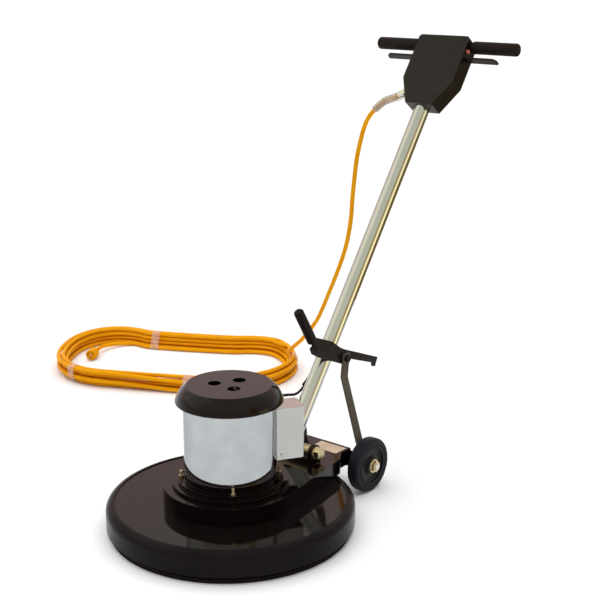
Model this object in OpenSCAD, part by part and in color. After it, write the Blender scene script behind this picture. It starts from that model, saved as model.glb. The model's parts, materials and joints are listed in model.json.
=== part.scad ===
// High speed floor burnisher: round deck with a direct-drive motor, tilting tube handle,
// height clamp with two struts to the axle, and a long supply cord tied in a hank.
// The origin is on the floor under the middle of the deck. +Y is the operator's side.

/* [Deck and pad] */
// Diameter over the bumper band
deck_d = 540; // [520:1:580]
// Height of the deck's top face above the floor
deck_top = 67; // [62:0.5:75]
// Thickness of the deck's sheet
deck_wall = 3; // [2:0.5:5]
// Radial thickness of the bumper band
bumper_w = 19; // [17:0.5:24]
// Radius of the bumper's rounded shoulder
bumper_round = 18; // [12:0.5:19]
// Height of the bumper's lower edge above the floor
bumper_bottom = 16; // [15:0.5:20]
// Height of the bumper's crest above the deck's top face
crest_rise = 2; // [0.5:0.5:4]
// Distance from the bumper's outside in to the pad's rim
pad_inset = 8; // [5:0.5:14]
// Thickness of the burnishing pad
pad_h = 14; // [10:0.5:14.5]
// Clearance between the deck's skirt and the pad driver
driver_gap = 13; // [8:0.5:24]
// Thickness of the pad driver
driver_h = 16; // [10:0.5:18]

/* [Frame casting] */
// Radius of the round end under the motor
frame_r = 146; // [140:1:152]
// Height of the casting above the deck
frame_h = 38; // [34:0.5:44]
// Thickness of the casting's walls
frame_wall = 6; // [4:0.5:8]
// Distance from the motor's axis to the rear edge of the tail
tail_y = 311; // [305:1:312]
// Half of the tail's width at its rear edge
tail_half = 91; // [88:0.5:91]
// Half of the tail's width at its shoulder
shoulder_half = 112; // [106:1:116]
// Distance from the motor's axis to the shoulder
shoulder_y = 243; // [230:1:250]
// Thickness of each axle lug
lug_t = 6; // [5:0.5:7]

/* [Motor] */
// Diameter of the chrome shell
shell_d = 199; // [190:1:205]
// Length of the chrome shell
shell_h = 162; // [155:1:175]
// Thickness of the chrome shell
shell_wall = 2; // [1.5:0.5:3]
// Diameter of the cap's lower edge
cap_d = 232; // [228:1:240]
// Diameter of the flat top of the cap
cap_flat_d = 184; // [170:1:190]
// Radius of the curve of the cap's side, seen from the side
cap_round = 59; // [50:1:80]
// Height of the cap
cap_h = 34.5; // [32:0.5:38]
// Thickness of the cap
cap_wall = 3; // [2:0.5:4]
// Diameter of each air hole in the cap
air_hole_d = 28; // [20:1:32]
// Distance of the air holes from the motor's axis
air_hole_r = 32; // [28:0.5:36]
// Diameter of the motor's shaft
shaft_d = 24; // [20:0.5:26]
// Angle of the capacitor cover round the motor
cover_angle = 58; // [54:1:62]
// Width of the capacitor cover
cover_w = 60; // [54:1:66]
// Distance from the motor's axis to the capacitor cover's outer face
cover_reach = 160; // [152:1:166]
// Height of the capacitor cover
cover_h = 118; // [110:1:125]

/* [Wheels] */
// Diameter of the wheels
wheel_d = 127; // [120:1:134]
// Width of each tyre
tyre_w = 30; // [26:1:32]
// Distance from the middle of the machine to each tyre's inner face
tyre_in = 106; // [102:0.5:110]
// Diameter of the wheels' hubs
hub_d = 80; // [70:1:86]
// Diameter of the axle
axle_d = 16; // [14:0.5:17]
// Distance from the motor's axis to the axle
axle_y = 338; // [337:1:342]

/* [Handle] */
// Lean of the handle from upright, in degrees
handle_lean = 35.4; // [34:0.1:37]
// Distance from the motor's axis to the handle's pivot
pivot_y = 201; // [199:1:204]
// Height of the handle's pivot above the casting
pivot_rise = 19.5; // [19:0.5:22]
// Diameter of the pivot bolt
pivot_d = 16; // [14:0.5:17]
// Diameter of the pivot sleeve
sleeve_d = 26; // [23:0.5:28]
// Length of the pivot sleeve
sleeve_l = 128; // [104:1:132]
// Thickness of each pivot ear
ear_t = 10; // [8:0.5:12]
// Diameter of the handle's tube
tube_d = 38; // [36:0.5:39]
// Thickness of the tube's wall
tube_wall = 2; // [1.5:0.5:3]
// Distance from the pivot to the handlebar
bar_reach = 1053; // [1040:1:1065]
// Diameter of the handlebar
bar_d = 25; // [22:0.5:26]
// Length of the handlebar
bar_l = 388; // [384:1:404]
// Diameter of the grips
grip_d = 31; // [29:0.5:34]
// Clearance between the switch box and each grip
grip_gap = 8; // [6:0.5:12]

/* [Switch box] */
// Width of the box
box_w = 144; // [140:1:150]
// Width of the box's lower edge
box_low_w = 76; // [72:1:80]
// Depth of the box with its rear cover
box_depth = 46; // [45:0.5:50]
// Height of the box above the handlebar's axis
box_rise = 17; // [16:0.5:24]
// Height of the box's straight sides
box_side = 123; // [120:1:126]
// Height of the box's tapered sides
box_taper = 68; // [66:1:72]
// Thickness of the box's walls
box_wall = 3; // [2:0.5:4]
// Distance from the handlebar's axis down to the lever rod
lever_drop = 37; // [36:0.5:42]
// Diameter of the lever rod
rod_d = 8; // [6:0.5:9]
// Width of each lever blade
blade_w = 20; // [18:0.5:24]
// Thickness of each lever blade
blade_t = 5; // [4:0.5:6]
// Half of the length over both lever blades
blade_reach = 157; // [150:1:165]
// Diameter of the lock-out button
button_d = 10; // [8:0.5:11]

/* [Height clamp] */
// Distance along the tube from the pivot to the clamp
clamp_z = 236; // [230:1:240]
// Height of the clamp block along the tube
clamp_h = 32; // [28:1:36]
// Distance from the tube's axis to the strut bolt
bolt_back = 36; // [35:0.5:40]
// Diameter of the strut bolt
bolt_d = 10; // [8:0.5:11]
// Thickness of the lock lever's plate
lever_t = 4; // [3:0.5:4.5]
// Width of each strut
strut_w = 24; // [20:1:26]
// Thickness of each strut
strut_t = 5; // [4:0.5:5.5]
// Diameter of the lock lever's grip
lock_grip_d = 23; // [20:0.5:26]
// Length of the lock lever's grip
lock_grip_l = 110; // [90:1:115]

/* [Cord] */
// Diameter of the supply cord
cord_d = 12; // [11.5:0.1:12.4]
// Layers in the hank
hank_layers = 4; // [4]
// Step between neighbouring loops of the hank
hank_step = 14.5; // [14:0.1:15.5]
// Step between layers of the hank
hank_rise = 12.8; // [12.8:0.1:13.5]
// Radius of the hank's ends at the outer loop
hank_end_r = 222; // [218:1:226]
// Length of the hank's straight runs
hank_run = 290; // [280:1:300]
// Curls in the strain relief spring
relief_curls = 19; // [14:1:20]
// Diameter of the spring's wire
wire_d = 2.2; // [1.8:0.1:2.4]

/* [Hidden] */
$fn = 64;
// Clearances
seat_gap = 0.1;
run_gap = 0.05;
slide_gap = 0.3;
side_gap = 1;

// Heights of the stack from the floor up
crest_z = deck_top + crest_rise;
frame_top = deck_top + frame_h;
bell_foot_h = 7;
bell_step_h = 7;
bell_neck_h = 13;
step_z = frame_top + bell_foot_h;
neck_z = step_z + bell_step_h;
shell_z = neck_z + bell_neck_h;
shell_top = shell_z + shell_h;
cap_lap = 2;
cap_z = shell_top - cap_lap;
cap_top = cap_z + cap_h;
cap_chord = [(cap_flat_d - cap_d) / 2, cap_h];
cap_mid = [(cap_flat_d + cap_d) / 4, cap_z + cap_h / 2];
cap_back = sqrt(pow(cap_round, 2) - pow(norm(cap_chord) / 2, 2));
cap_centre = cap_mid + [-cap_chord.y, cap_chord.x] * cap_back / norm(cap_chord);
driver_z = pad_h;
hub_z = driver_z + driver_h;

// Deck
deck_r = deck_d / 2;
skirt_r = deck_r - bumper_w - seat_gap;
skirt_bottom = bumper_bottom + 4;
pad_r = deck_r - pad_inset;
driver_r = skirt_r - deck_wall - driver_gap;
shaft_hole_r = 40;
drive_hub_r = 30;
drive_hub_h = 28;

// Nameplate on the tail
plate_l = 72;
plate_w = 40;
plate_t = 0.8;
plate_x0 = 14;
plate_back = 50;

// Motor
shell_in = shell_d / 2 - shell_wall;
bell_foot_r = 126;
bell_step_r = 114;
bell_neck_r = shell_in - seat_gap;
spigot_h = 8;
stud_r = 106;
stud_d = 6;
bearing_d = 52;
bearing_h = 12;
bearing_lip = 2;
plate_h = 10;
plate_drop = 18;
plate_z = shell_top - plate_drop;
vent_ring = 58;
vent_r = 16;
rotor_r = 48;
rotor_h = 80;
rotor_lift = 33;
rotor_z = shell_z + rotor_lift;
air_gap = 1;
stator_h = 70;
stator_z = rotor_z + (rotor_h - stator_h) / 2;
winding_h = 18;
winding_in = 55;
winding_out = 88;
fan_h = 22;
fan_blades = 10;
boss_r = 6;
boss_ring = cap_flat_d / 2 - boss_r - 2;
fan_r = boss_ring - boss_r - 5;
cover_z = shell_z + 18;
cover_wall = 2;
cover_corner = 10;
can_r = 20;
can_h = 95;

// Wheels and axle
axle_z = wheel_d / 2;
hub_in = tyre_in - 1;
hub_w = tyre_w + 2;
nut_gap = 0.5;
nut_h = 9;
nut_in = hub_in + hub_w + nut_gap;
nut_r = 13.5;
nut_washer_r = 16;
nut_washer_t = 2;
axle_proud = 3;
axle_half = nut_in + nut_h + axle_proud;
tyre_round = 8;
lug_in = 84;
lug_l = 50;
lug_r = 18;
lug_top = frame_top - frame_wall / 2;

// Handle
pivot_z = frame_top + pivot_rise;
ear_in = sleeve_l / 2 + side_gap;
ear_half_w = 18;
pad_plate_h = 3;
washer_h = 2.5;
bolt_head_h = 14;
bolt_head_r = 14;
tube_r = tube_d / 2;
tube_start = 4;
socket_z = 52;
socket_h = 15;
socket_half = 28;

// Switch box
box_front = -(box_depth / 2 + 1);
cover_y = box_front + box_depth - box_wall;
box_top = bar_reach + box_rise;
box_shoulder = box_top - box_side;
box_low = box_shoulder - box_taper;
box_slope = atan((box_w - box_low_w) / 2 / box_taper);
box_chamfer = 5;
grip_in = box_w / 2 + grip_gap;
grip_end = bar_l / 2 + 7;
grip_bevel = 5;
tube_top = box_shoulder + 4;
rod_y = -9;
rod_z = bar_reach - lever_drop;
blade_gap = 2.5;
blade_in = box_w / 2 + blade_gap;
blade_lip = 4;
blade_cut = 8;
button_y = -12;
button_drop = 19;
button_proud = 6;
screw_spots = [[box_w / 2 - 10, box_shoulder + 14], [box_low_w / 2 - 5, box_low + 16]];
screw_d = 3;
gland_rise = 39;
gland_z = box_low + gland_rise;
gland_x = -(box_low_w / 2 + gland_rise * tan(box_slope));
gland_nut_h = 10;
gland_l = 26;
gland_r = 10.5;

// Height clamp, struts and lock lever
block_half = 24.5;
block_depth = 27;
ear_w = 5;
lever_x = block_half + 0.5;
strut_x = lever_x + lever_t + side_gap;
strut_clear = 1;
strut_low_x = lug_in + lug_t + strut_clear;
bolt_half = strut_x + strut_t + side_gap;
sin_lean = sin(handle_lean);
cos_lean = cos(handle_lean);
strut_top_y = pivot_y + bolt_back * cos_lean + clamp_z * sin_lean;
strut_top_z = pivot_z - bolt_back * sin_lean + clamp_z * cos_lean;
strut_l = norm([strut_top_y - axle_y, strut_top_z - axle_z]);
strut_lean = atan2(strut_top_y - axle_y, strut_top_z - axle_z);
strut_knee = 45;
strut_eye_r = 20;
// Play of each strut's eye round the axle: how far the axle moves in it, forwards and up
play_front = 9.5;
play_up = 2.6;
eye_hole_r = axle_d / 2 + 0.6 + norm([play_front, play_up]) / 2;
// Lock lever outline about the strut bolt: backwards, then along the tube
lever_outline = [[-134, -30], [-120, -38], [-96, -36], [0, -16], [8, 2], [114, 31], [120, 24],
    [131, 28], [127, 51], [-8, 18], [-122, -2]];
lock_root = [-124, -18];
lock_rise = 23;
lock_rod_d = 10;
lock_rod_in = 12;

// Supply cord: its free route, from the box down to the hank, in points chosen by hand
cord_r = cord_d / 2;
cord_route = [[-76.3, 727.3, 865.1], [-96, 721.6, 857.1], [-117.8, 717.6, 848.2], [-139.1, 716.6, 832],
    [-158.7, 717.4, 813.4], [-175.1, 720.3, 791.6], [-189, 725.2, 765.3], [-201.6, 730.6, 734],
    [-214, 735, 694], [-220, 737, 662], [-226, 739, 622], [-231, 740, 580], [-235, 742, 540], [-243, 744, 496], [-256, 749, 455], [-273, 755, 415],
    [-293, 761, 375], [-315, 769, 335], [-338, 776, 294], [-362, 784, 252], [-390, 794, 210],
    [-425, 806, 171], [-465, 820, 132], [-500, 832, 104], [-526, 843, 84], [-546, 856, 70],
    [-561, 876, 62], [-577, 898, 59], [-597, 920, 57.5], [-623, 935.6, 54.6], [-652, 947.5, 48.4],
    [-667.3, 952.6, 46], [-680.6, 957.1, 45.6]];
relief_from = 3;
relief_to = 27;
relief_r = 9.6;
relief_end_r = 8;
// Motor cable from the side of the tube to the back of the motor's shell
cable_d = 6.2;
cable_z = 152;
cable_slant = 20;
cable_route = [[-17.6, 291.2, 251.5], [-19, 289, 248.4], [-22.4, 283.6, 240.7], [-25.8, 278.2, 233.1],
    [-28.2, 273.1, 228], [-30, 266.6, 224.5], [-31.2, 259.2, 223.1], [-31.4, 251.7, 223.9], [-31.2, 232.3, 228.7],
    [-30.7, 213, 233.3], [-29.4, 193.5, 238], [-27.2, 174, 242.5], [-24, 154.5, 246.5], [-20, 135, 249.5],
    [-16, 116, 251], [-13, 99.4, 252]];
bush_r = 6.5;
bush_in = 10;
bush_out = 14;

// Hank: middle, heading and loop counts
hank_x = -855;
hank_y = 700;
hank_heading = 27;
hank_z = cord_r + 1.2;
loop_rings = 24;
half_rings = loop_rings / 2;
turns_per_layer = 2;
first_ring = 9;
last_ring = 8 * loop_rings + 14;
tail_r = 110;
tail_turn = 72;
tail_steps = 5;
plug_r = 16;
plug_l = 52;
plug_z = plug_r + 1;
// How far each of the loops' rings stands out from an even oval, because the hank was wound by hand
loop_swell = [14, 10, 4, 0, 0, 0, 0, 0, 0, 0, -20, -42, -48, -44, -14, 10, 12, 3, -6, -5, 3, 11, 14, 14];
tie_rings = [0.72, 6.5, 12.79, 21.5];
tie_w = 26;
tie_t = 0.7;
tie_gap = 0.6;
tie_play = 4;

// Vectors, frames and sweeps
function unit(v) = v / norm(v);
function last(list) = list[len(list) - 1];
function tangents(p) = let (n = len(p) - 1)
    [for (i = [0 : n]) unit(p[min(i + 1, n)] - p[max(i - 1, 0)])];
function square_to(v, t) = unit(v - (v * t) * t);
function seed_normal(t) = square_to(abs(t.z) < 0.8 ? [0, 0, 1] : [0, 1, 0], t);
function carried_normals(t) =
    [for (i = 0, n = seed_normal(t[0]); i < len(t); i = i + 1, n = square_to(n, t[min(i, len(t) - 1)])) n];
function ring_points(p, t, n, r, sides) =
    [for (k = [0 : sides - 1]) p + r * (cos(360 * k / sides) * n + sin(360 * k / sides) * cross(t, n))];
function between(a, b, share) = a + (b - a) * share;

module sweep_tube(path, r, sides) {
    t = tangents(path);
    n = carried_normals(t);
    rings = len(path);
    points = [for (i = [0 : rings - 1]) each ring_points(path[i], t[i], n[i], r, sides)];
    skin = [for (i = [0 : rings - 2], k = [0 : sides - 1])
        let (a = i * sides + k, b = i * sides + (k + 1) % sides)
        each [[a, a + sides, b], [b, a + sides, b + sides]]];
    start_cap = [for (k = [1 : sides - 2]) [0, k, k + 1]];
    end_at = (rings - 1) * sides;
    end_cap = [for (k = [1 : sides - 2]) [end_at, end_at + k + 1, end_at + k]];
    polyhedron(points = points, faces = concat(skin, start_cap, end_cap));
}

// Smooth curve through a route's points
function curve_point(p, i, s) =
    let (n = len(p) - 1, a = p[max(i - 1, 0)], b = p[i], c = p[i + 1], d = p[min(i + 2, n)])
    0.5 * (2 * b + (c - a) * s + (2 * a - 5 * b + 4 * c - d) * s * s + (3 * b - 3 * c + d - a) * s * s * s);
function curve(p, steps) =
    concat([for (i = [0 : len(p) - 2], s = [0 : steps - 1]) curve_point(p, i, s / steps)], [last(p)]);

// Hank: loops with two round ends, spiralling out and in, a layer lower at each outer and inner turn
function hank_frame(u, v) = [hank_x + u * cos(hank_heading) - v * sin(hank_heading),
    hank_y + u * sin(hank_heading) + v * cos(hank_heading)];
function spiral(turn) = abs(turn - turns_per_layer * (turn < 2 * turns_per_layer ? 1 : 3));
function climbed(ring) = min(1, max(0, (ring + 1) / 2));
function layer_of(ring) = hank_layers - 1
    - climbed(ring - turns_per_layer * loop_rings)
    - climbed(ring - 2 * turns_per_layer * loop_rings)
    - climbed(ring - 3 * turns_per_layer * loop_rings);
function loop_angle(k) = k <= 1 ? -90
    : k <= half_rings - 1 ? -90 + (k - 1) * 18
    : k <= half_rings + 1 ? 90
    : k <= loop_rings - 1 ? 90 + (k - half_rings - 1) * 18
    : 270;
function loop_run(k) = k <= half_rings ? min(1, k, half_rings - k) : -min(1, k - half_rings, loop_rings - k);
function loop_point(k, r) = [loop_run(k) * hank_run / 2 + r * cos(loop_angle(k)), r * sin(loop_angle(k))];
function swell_at(k) = between(loop_swell[floor(k)], loop_swell[(floor(k) + 1) % loop_rings], k - floor(k));
function hank_r(ring) = hank_end_r - hank_step * spiral(ring / loop_rings) + swell_at(ring % loop_rings);
function hank_point(ring) =
    let (q = loop_point(ring % loop_rings, hank_r(ring)), w = hank_frame(q.x, q.y))
    [w.x, w.y, hank_z + hank_rise * layer_of(ring)];

// The cord's far end turns inwards from the last loop and rises to the plug
tail_from = loop_angle(last_ring % loop_rings);
tail_at = loop_point(last_ring % loop_rings, hank_r(last_ring));
tail_mid = tail_at - tail_r * [cos(tail_from), sin(tail_from)];
tail_stop = tail_from + tail_turn;
function tail_point(a) =
    let (w = hank_frame(tail_mid.x + tail_r * cos(a), tail_mid.y + tail_r * sin(a)))
    [w.x, w.y, between(hank_z, plug_z, (a - tail_from) / tail_turn)];
plug_heading = hank_heading + tail_stop + 90;
plug_way = [cos(plug_heading), sin(plug_heading), 0];
plug_at = tail_point(tail_stop) + (cord_d + 2) * plug_way;
hank_loops = [for (ring = [first_ring : last_ring]) hank_point(ring)];
hank_in = unit(hank_point(first_ring) - hank_point(first_ring - 1));
hank_lead = hank_loops[0] - (cord_d + 2) * hank_in;
hank_path = concat([hank_lead], hank_loops,
    [for (i = [1 : tail_steps]) tail_point(tail_from + tail_turn * i / tail_steps)], [plug_at]);
hank_gap = min([for (i = [0 : len(hank_loops) - 1], j = [i + 6 : 1 : len(hank_loops) - 1])
    norm(hank_loops[i] - hank_loops[j])]) - cord_d;
echo(least_gap_of_the_hank = hank_gap);

// Strain relief spring: curls round the first stretch of the cord
cord_fine = curve(cord_route, 8);
relief_path = [for (i = [relief_from : relief_to]) cord_fine[i]];
relief_t = tangents(relief_path);
relief_n = carried_normals(relief_t);
relief_rings = relief_curls * 8;
function relief_point(k) =
    let (s = k / relief_rings * (len(relief_path) - 1), i = min(floor(s), len(relief_path) - 2), f = s - i,
        c = between(relief_path[i], relief_path[i + 1], f),
        n = unit(between(relief_n[i], relief_n[i + 1], f)),
        t = unit(between(relief_t[i], relief_t[i + 1], f)),
        r = between(relief_r, relief_end_r, k / relief_rings))
    c + r * (cos(45 * k) * n + sin(45 * k) * cross(t, n));
relief_wire = [for (k = [0 : relief_rings]) relief_point(k)];
relief_gap = min([for (i = [0 : relief_rings], j = [i + 5 : 1 : min(i + 20, relief_rings)])
    norm(relief_wire[i] - relief_wire[j])]) - wire_d;
echo(least_gap_of_the_spring = relief_gap);

// Placing helpers
module on_handle() { translate([0, pivot_y, pivot_z]) rotate([-handle_lean, 0, 0]) children(); }
module at_clamp() { on_handle() translate([0, bolt_back, clamp_z]) children(); }
module on_strut() { translate([0, axle_y, axle_z]) rotate([-strut_lean, 0, 0]) children(); }
module bar_x(r, from, to) { translate([from, 0, 0]) rotate([0, 90, 0]) cylinder(r = r, h = to - from); }
module hex_x(r, from, to) { translate([from, 0, 0]) rotate([0, 90, 0]) cylinder(r = r, h = to - from, $fn = 6); }
module plate_x(from, to) {
    translate([from, 0, 0]) rotate([90, 0, 90]) linear_extrude(to - from) children();
}
module ring_z(r_in, r_out, from, to) {
    translate([0, 0, from]) difference() {
        cylinder(r = r_out, h = to - from, $fn = 128);
        translate([0, 0, -1]) cylinder(r = r_in, h = to - from + 2, $fn = 128);
    }
}
module both_sides() { children(); mirror([1, 0, 0]) children(); }

// Deck and pad
module deck_shell() {
    color([0.17, 0.11, 0.09]) {
        ring_z(shaft_hole_r, skirt_r, deck_top - deck_wall, deck_top);
        ring_z(skirt_r - deck_wall, skirt_r, skirt_bottom, deck_top - deck_wall);
    }
}

module rim_bumper() {
    color([0.12, 0.11, 0.11]) rotate_extrude($fn = 128) intersection() {
        translate([deck_r - bumper_w, bumper_bottom]) square([bumper_w, crest_z - bumper_bottom]);
        union() {
            translate([deck_r - bumper_round, crest_z - bumper_round]) circle(r = bumper_round);
            translate([0, bumper_bottom]) square([deck_r, crest_z - bumper_round - bumper_bottom]);
        }
    }
}

module burnishing_pad() {
    color([0.10, 0.08, 0.08]) cylinder(r = pad_r, h = pad_h, $fn = 128);
}

module pad_driver() {
    color([0.25, 0.25, 0.27]) ring_z(shaft_d / 2 + run_gap, driver_r, driver_z, hub_z);
}

module drive_hub() {
    color([0.6, 0.6, 0.62]) ring_z(shaft_d / 2 + run_gap, drive_hub_r, hub_z, hub_z + drive_hub_h);
}

// Frame casting: round under the motor, tapering to the tail, with two lugs for the axle
module frame_outline(inset) {
    r = frame_r - inset;
    side = [[r * cos(8), r * sin(8)], [shoulder_half - inset, shoulder_y],
        [tail_half - inset, shoulder_y + 32], [tail_half - inset, tail_y - inset]];
    circle(r = r, $fn = 128);
    polygon(concat(side, [for (i = [3 : -1 : 0]) [-side[i].x, side[i].y]]));
}

module frame_casting() {
    color([0.13, 0.09, 0.08]) difference() {
        union() {
            difference() {
                translate([0, 0, deck_top]) linear_extrude(frame_h) frame_outline(0);
                translate([0, 0, deck_top - 1]) linear_extrude(frame_h - frame_wall + 1) frame_outline(frame_wall);
            }
            both_sides() plate_x(lug_in, lug_in + lug_t) polygon([[tail_y - lug_l, lug_top],
                [tail_y - frame_wall / 2, lug_top], [axle_y + lug_r, axle_z + lug_r / 4],
                [axle_y + 0.8 * lug_r, axle_z - 0.8 * lug_r], [axle_y - 0.2 * lug_r, axle_z - lug_r],
                [axle_y - 1.1 * lug_r, axle_z - lug_r / 3], [tail_y - 0.75 * lug_l, crest_z + frame_wall]]);
        }
        translate([0, 0, deck_top]) cylinder(r = shaft_hole_r, h = frame_h + 1);
        ring_z(skirt_r - 1, deck_r + 1, deck_top - 1, crest_z + 0.6);
        translate([0, axle_y, axle_z]) bar_x(axle_d / 2 + run_gap, -tyre_in, tyre_in);
    }
}

module nameplate() {
    color([0.75, 0.73, 0.7]) translate([plate_x0, tail_y - plate_back, frame_top]) cube([plate_l, plate_w, plate_t]);
}

// Motor
module end_bell() {
    color([0.11, 0.08, 0.08]) difference() {
        union() {
            translate([0, 0, frame_top]) cylinder(r = bell_foot_r, h = bell_foot_h);
            translate([0, 0, step_z]) cylinder(r = bell_step_r, h = bell_step_h);
            ring_z(bell_neck_r - 8, bell_neck_r, neck_z, shell_z + spigot_h);
            ring_z(bell_neck_r - 8, shell_d / 2, neck_z, shell_z);
        }
        translate([0, 0, frame_top - 1]) cylinder(d = shaft_d + 6, h = 30);
        translate([0, 0, neck_z - bearing_h]) cylinder(d = bearing_d + 2 * seat_gap, h = bearing_h + 1);
        for (a = [45 : 90 : 315]) rotate(a) translate([stud_r, 0, frame_top - 1])
            cylinder(d = stud_d + 2 * seat_gap, h = 30);
    }
}

module motor_studs() {
    color([0.75, 0.65, 0.4]) for (a = [45 : 90 : 315]) rotate(a) translate([stud_r, 0, 0]) {
        translate([0, 0, frame_top + 1]) cylinder(d = stud_d, h = shell_z - frame_top + 1);
        translate([0, 0, neck_z]) cylinder(r = 5.5, h = 5, $fn = 6);
    }
}

module motor_shell() {
    color([0.85, 0.86, 0.88]) ring_z(shell_in, shell_d / 2, shell_z, shell_top);
}

module stator_core() {
    color([0.4, 0.4, 0.42]) ring_z(rotor_r + air_gap, shell_in - seat_gap, stator_z, stator_z + stator_h);
}

module stator_windings() {
    color([0.72, 0.4, 0.2]) {
        ring_z(winding_in, winding_out, stator_z - winding_h, stator_z);
        ring_z(winding_in, winding_out, stator_z + stator_h, stator_z + stator_h + winding_h);
    }
}

module lower_bearing() {
    color([0.7, 0.7, 0.72]) ring_z(shaft_d / 2 + run_gap, bearing_d / 2, neck_z - bearing_h, neck_z);
}

module upper_bearing() {
    color([0.7, 0.7, 0.72]) ring_z(shaft_d / 2 + run_gap, bearing_d / 2, plate_z + bearing_lip, plate_z + plate_h);
}

module bearing_plate() {
    color([0.5, 0.5, 0.52]) difference() {
        translate([0, 0, plate_z]) cylinder(r = shell_in - seat_gap, h = plate_h, $fn = 128);
        translate([0, 0, plate_z - 1]) cylinder(d = shaft_d + 6, h = plate_h + 2);
        translate([0, 0, plate_z + bearing_lip]) cylinder(d = bearing_d + 2 * seat_gap, h = plate_h);
        for (a = [0 : 60 : 300]) rotate(a) translate([vent_ring, 0, plate_z - 1]) cylinder(r = vent_r, h = plate_h + 2);
    }
}

module cap_section(inset) {
    intersection() {
        translate([0, cap_z - inset]) square([deck_r, cap_h]);
        union() {
            translate([0, cap_z - inset]) square([cap_flat_d / 2 - inset, cap_h]);
            translate(cap_centre) circle(r = cap_round - inset, $fn = 256);
        }
    }
}

module motor_cap() {
    color([0.13, 0.09, 0.08]) difference() {
        union() {
            difference() {
                rotate_extrude($fn = 128) cap_section(0);
                rotate_extrude($fn = 128) cap_section(cap_wall);
            }
            for (a = [45 : 90 : 315]) rotate(a) translate([boss_ring, 0, plate_z + plate_h])
                cylinder(r = boss_r, h = cap_top - plate_z - plate_h - cap_wall / 2);
            ring_z(boss_ring + 2, boss_ring + 4, plate_z + plate_h + 1, cap_top - cap_wall / 2);
        }
        for (a = [90 : 120 : 330]) rotate(a) translate([air_hole_r, 0, cap_z]) cylinder(d = air_hole_d, h = cap_h + 1);
        for (a = [45 : 90 : 315]) rotate(a) translate([boss_ring, 0, plate_z]) cylinder(d = 4 + 2 * seat_gap, h = 29);
    }
}

module cap_screws() {
    color([0.7, 0.65, 0.5]) for (a = [45 : 90 : 315]) rotate(a) translate([boss_ring, 0, plate_z + plate_h])
        cylinder(d = 4, h = 18);
}

module on_cover() { rotate(cover_angle) translate([0, 0, cover_z]) children(); }

module cover_shape(inset, height) {
    far = cover_reach - cover_corner;
    half = cover_w / 2 - inset;
    r = cover_corner - inset;
    linear_extrude(height) {
        translate([shell_d / 2 - 20, -half]) square([far - shell_d / 2 + 20, 2 * half]);
        translate([far - 1, -half + r]) square([r + 1, 2 * half - 2 * r]);
        for (s = [-1, 1]) translate([far, s * (half - r)]) circle(r = r);
    }
}

module capacitor_cover() {
    color([0.84, 0.84, 0.85]) difference() {
        on_cover() cover_shape(0, cover_h);
        on_cover() translate([0, 0, cover_wall]) cover_shape(cover_wall, cover_h - 2 * cover_wall);
        cylinder(r = shell_d / 2 + seat_gap, h = shell_top);
    }
}

module start_capacitor() {
    color([0.2, 0.2, 0.22]) on_cover() translate([cover_reach - cover_wall - can_r - 4, 0, cover_wall])
        cylinder(r = can_r, h = can_h);
}

module cover_screws() {
    color([0.8, 0.8, 0.8]) on_cover() for (s = [-1, 1]) {
        translate([shell_d / 2 + 8, s * cover_w / 2, 12]) rotate([-90 * s, 0, 0]) cylinder(r = 3.5, h = 2);
    }
}

module motor_shaft() {
    color([0.75, 0.75, 0.77]) translate([0, 0, driver_z + 2])
        cylinder(d = shaft_d, h = cap_top - cap_wall - 6 - driver_z - 2);
}

module rotor_core() {
    color([0.45, 0.45, 0.48]) ring_z(shaft_d / 2 + run_gap, rotor_r, rotor_z, rotor_z + rotor_h);
}

module cooling_fan() {
    fan_z = plate_z + plate_h + 4;
    color([0.2, 0.2, 0.22]) difference() {
        union() {
            translate([0, 0, fan_z]) cylinder(r = fan_r, h = 3);
            translate([0, 0, fan_z]) cylinder(r = 20, h = fan_h);
            for (a = [0 : 360 / fan_blades : 359]) rotate(a) translate([19, -1.2, fan_z + 2])
                cube([fan_r - 21, 2.4, fan_h - 4]);
        }
        translate([0, 0, fan_z - 1]) cylinder(r = shaft_d / 2 + run_gap, h = fan_h + 2);
    }
}

// Wheels
module tyre(side) {
    mid = side * (tyre_in + tyre_w / 2);
    flat = tyre_w / 2 - tyre_round;
    r = axle_z - tyre_round;
    color([0.09, 0.09, 0.10]) translate([mid, axle_y, axle_z]) rotate([0, 90, 0]) rotate_extrude($fn = 96)
        difference() {
            union() {
                translate([0, -tyre_w / 2]) square([r, tyre_w]);
                translate([0, -flat]) square([axle_z, 2 * flat]);
                for (s = [-1, 1]) translate([r, s * flat]) circle(r = tyre_round);
            }
            translate([-axle_z, -tyre_w]) square([axle_z + hub_d / 2 + seat_gap, 2 * tyre_w]);
        }
}

module wheel_hub(side) {
    color([0.11, 0.11, 0.12]) translate([0, axle_y, axle_z]) mirror([side < 0 ? 1 : 0, 0, 0])
        difference() {
            union() {
                bar_x(hub_d / 2, tyre_in + 3, tyre_in + tyre_w - 4);
                bar_x(20, hub_in, hub_in + hub_w);
            }
            bar_x(axle_d / 2 + run_gap, hub_in - 1, hub_in + hub_w + 1);
        }
}

module tyre_left() { tyre(1); }
module tyre_right() { tyre(-1); }
module hub_left() { wheel_hub(1); }
module hub_right() { wheel_hub(-1); }

module axle() {
    color([0.75, 0.68, 0.55]) translate([0, axle_y, axle_z]) bar_x(axle_d / 2, -axle_half, axle_half);
}

module axle_nuts() {
    color([0.78, 0.72, 0.5]) translate([0, axle_y, axle_z]) both_sides() difference() {
        union() {
            bar_x(nut_washer_r, nut_in, nut_in + nut_washer_t);
            hex_x(nut_r, nut_in + nut_washer_t, nut_in + nut_h);
        }
        bar_x(axle_d / 2 + run_gap, hub_in, axle_half + nut_h);
    }
}

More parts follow.
